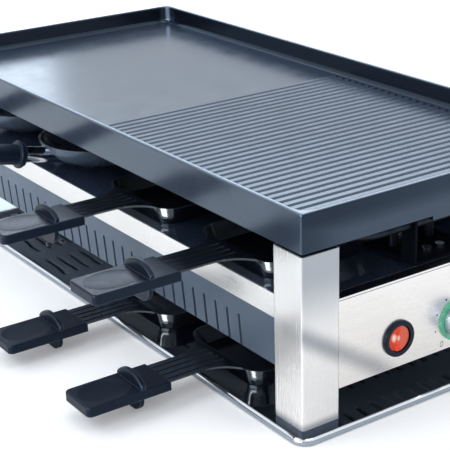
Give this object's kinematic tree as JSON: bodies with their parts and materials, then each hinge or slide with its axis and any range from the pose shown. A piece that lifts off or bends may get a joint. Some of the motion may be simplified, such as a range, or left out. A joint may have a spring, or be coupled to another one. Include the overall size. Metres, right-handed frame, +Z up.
{
  "type": "table grill",
  "caption": "Two-level raclette table grill with a lift-off half-ribbed plate on square steel posts, sliding pans and small woks, rotary heat control and round rocker switch.",
  "frame": {"origin": "middle of the footprint, on the surface that the pads stand on", "axes": "+X towards the control end, +Y from the near long side to the far one, +Z up"},
  "size_m": [0.5323, 0.4306, 0.145],
  "materials": {
    "plate_coating": "satin non-stick coating on cast metal",
    "tray_enamel": "high gloss, mirror-like",
    "shelf_enamel": "high gloss",
    "housing_plastic": "satin, slate grey",
    "bottom_aluminium": "plain satin sheet",
    "core_plastic": "satin",
    "brushed_steel": "fine vertical brushing",
    "screw_steel": "plated",
    "element_steel": "dark, heat-toned tube",
    "bracket_steel": "blackened sheet",
    "shaft_steel": "turned",
    "block_ceramic": "unglazed",
    "thermostat_ceramic": "unglazed",
    "knob_silver": "metallic silver paint",
    "ring_green": "translucent green",
    "switch_black": "satin black",
    "rocker_red": "translucent red-orange",
    "grommet_rubber": "matt",
    "pad_rubber": "matt",
    "wire_sheath": "woven glass sleeve over silicone",
    "pan_coating": "glossy non-stick coating",
    "handle_plastic": "satin moulded",
    "ferrule_chrome": "bright"
  },
  "bodies": {
    "grill_body": {"base_tray": "tray_enamel", "bracket_screws": "screw_steel", "control_panel": "brushed_steel", "cord_end_panel": "brushed_steel", "cord_grommet": "grommet_rubber", "corner_post_control_far": "brushed_steel", "corner_post_control_near": "brushed_steel", "corner_post_cord_far": "brushed_steel", "corner_post_cord_near": "brushed_steel", "element_brackets": "bracket_steel", "heating_element": "element_steel", "housing_bottom": "bottom_aluminium", "housing_wall_far": "housing_plastic", "housing_wall_near": "housing_plastic", "knob_light_ring": "ring_green", "post_core_control_far": "core_plastic", "post_core_control_near": "core_plastic", "post_core_cord_far": "core_plastic", "post_core_cord_near": "core_plastic", "post_screws": "screw_steel", "side_strip_far": "brushed_steel", "side_strip_near": "brushed_steel", "switch_housing": "switch_black", "terminal_block": "block_ceramic", "thermostat": "thermostat_ceramic", "tray_pads": "pad_rubber", "upper_shelf": "shelf_enamel", "wiring": "wire_sheath"},
    "grill_plate": {"grill_plate": "plate_coating"},
    "control_knob": {"control_knob": "knob_silver", "thermostat_shaft": "shaft_steel"},
    "switch_rocker": {"switch_rocker": "rocker_red"},
    "pan_upper_near_1": {"pan_upper_near_1": "pan_coating", "pan_handle_upper_near_1": "handle_plastic"},
    "pan_lower_near_1": {"pan_lower_near_1": "pan_coating", "pan_handle_lower_near_1": "handle_plastic"},
    "pan_upper_near_2": {"pan_upper_near_2": "pan_coating", "pan_handle_upper_near_2": "handle_plastic"},
    "pan_lower_near_2": {"pan_lower_near_2": "pan_coating", "pan_handle_lower_near_2": "handle_plastic"},
    "wok_near_3": {"wok_near_3": "pan_coating", "wok_ferrule_near_3": "ferrule_chrome", "wok_grip_near_3": "handle_plastic"},
    "wok_near_4": {"wok_near_4": "pan_coating", "wok_ferrule_near_4": "ferrule_chrome", "wok_grip_near_4": "handle_plastic"},
    "pan_upper_far_1": {"pan_upper_far_1": "pan_coating", "pan_handle_upper_far_1": "handle_plastic"},
    "pan_lower_far_1": {"pan_lower_far_1": "pan_coating", "pan_handle_lower_far_1": "handle_plastic"},
    "pan_upper_far_2": {"pan_upper_far_2": "pan_coating", "pan_handle_upper_far_2": "handle_plastic"},
    "pan_lower_far_2": {"pan_lower_far_2": "pan_coating", "pan_handle_lower_far_2": "handle_plastic"},
    "wok_far_3": {"wok_far_3": "pan_coating", "wok_ferrule_far_3": "ferrule_chrome", "wok_grip_far_3": "handle_plastic"},
    "wok_far_4": {"wok_far_4": "pan_coating", "wok_ferrule_far_4": "ferrule_chrome", "wok_grip_far_4": "handle_plastic"}
  },
  "joints": [
    {"name": "plate_lift", "type": "slide", "parent": "grill_body", "child": "grill_plate", "axis": [0, 0, 1], "range_m": [0, 0.08]},
    {"name": "knob_turn", "type": "hinge", "parent": "grill_body", "child": "control_knob", "pos_m": [0.254, 0.004, 0.044], "axis": [-1, 0, 0], "range_deg": [0, 257]},
    {"name": "rocker_tilt", "type": "hinge", "parent": "grill_body", "child": "switch_rocker", "pos_m": [0.2518, -0.0442, 0.0449], "axis": [0, 0, 1], "range_deg": [0, 14]},
    {"name": "pan_upper_near_1_slide", "type": "slide", "parent": "grill_body", "child": "pan_upper_near_1", "axis": [0, -1, 0], "range_m": [0, 0.13]},
    {"name": "pan_lower_near_1_slide", "type": "slide", "parent": "grill_body", "child": "pan_lower_near_1", "axis": [0, -1, 0], "range_m": [0, 0.13]},
    {"name": "pan_upper_near_2_slide", "type": "slide", "parent": "grill_body", "child": "pan_upper_near_2", "axis": [0, -1, 0], "range_m": [0, 0.13]},
    {"name": "pan_lower_near_2_slide", "type": "slide", "parent": "grill_body", "child": "pan_lower_near_2", "axis": [0, -1, 0], "range_m": [0, 0.13]},
    {"name": "wok_near_3_slide", "type": "slide", "parent": "grill_body", "child": "wok_near_3", "axis": [0, -1, 0], "range_m": [0, 0.13]},
    {"name": "wok_near_4_slide", "type": "slide", "parent": "grill_body", "child": "wok_near_4", "axis": [0, -1, 0], "range_m": [0, 0.13]},
    {"name": "pan_upper_far_1_slide", "type": "slide", "parent": "grill_body", "child": "pan_upper_far_1", "axis": [0, 1, 0], "range_m": [0, 0.13]},
    {"name": "pan_lower_far_1_slide", "type": "slide", "parent": "grill_body", "child": "pan_lower_far_1", "axis": [0, 1, 0], "range_m": [0, 0.13]},
    {"name": "pan_upper_far_2_slide", "type": "slide", "parent": "grill_body", "child": "pan_upper_far_2", "axis": [0, 1, 0], "range_m": [0, 0.13]},
    {"name": "pan_lower_far_2_slide", "type": "slide", "parent": "grill_body", "child": "pan_lower_far_2", "axis": [0, 1, 0], "range_m": [0, 0.13]},
    {"name": "wok_far_3_slide", "type": "slide", "parent": "grill_body", "child": "wok_far_3", "axis": [0, 1, 0], "range_m": [0, 0.13]},
    {"name": "wok_far_4_slide", "type": "slide", "parent": "grill_body", "child": "wok_far_4", "axis": [0, 1, 0], "range_m": [0, 0.13]}
  ]
}
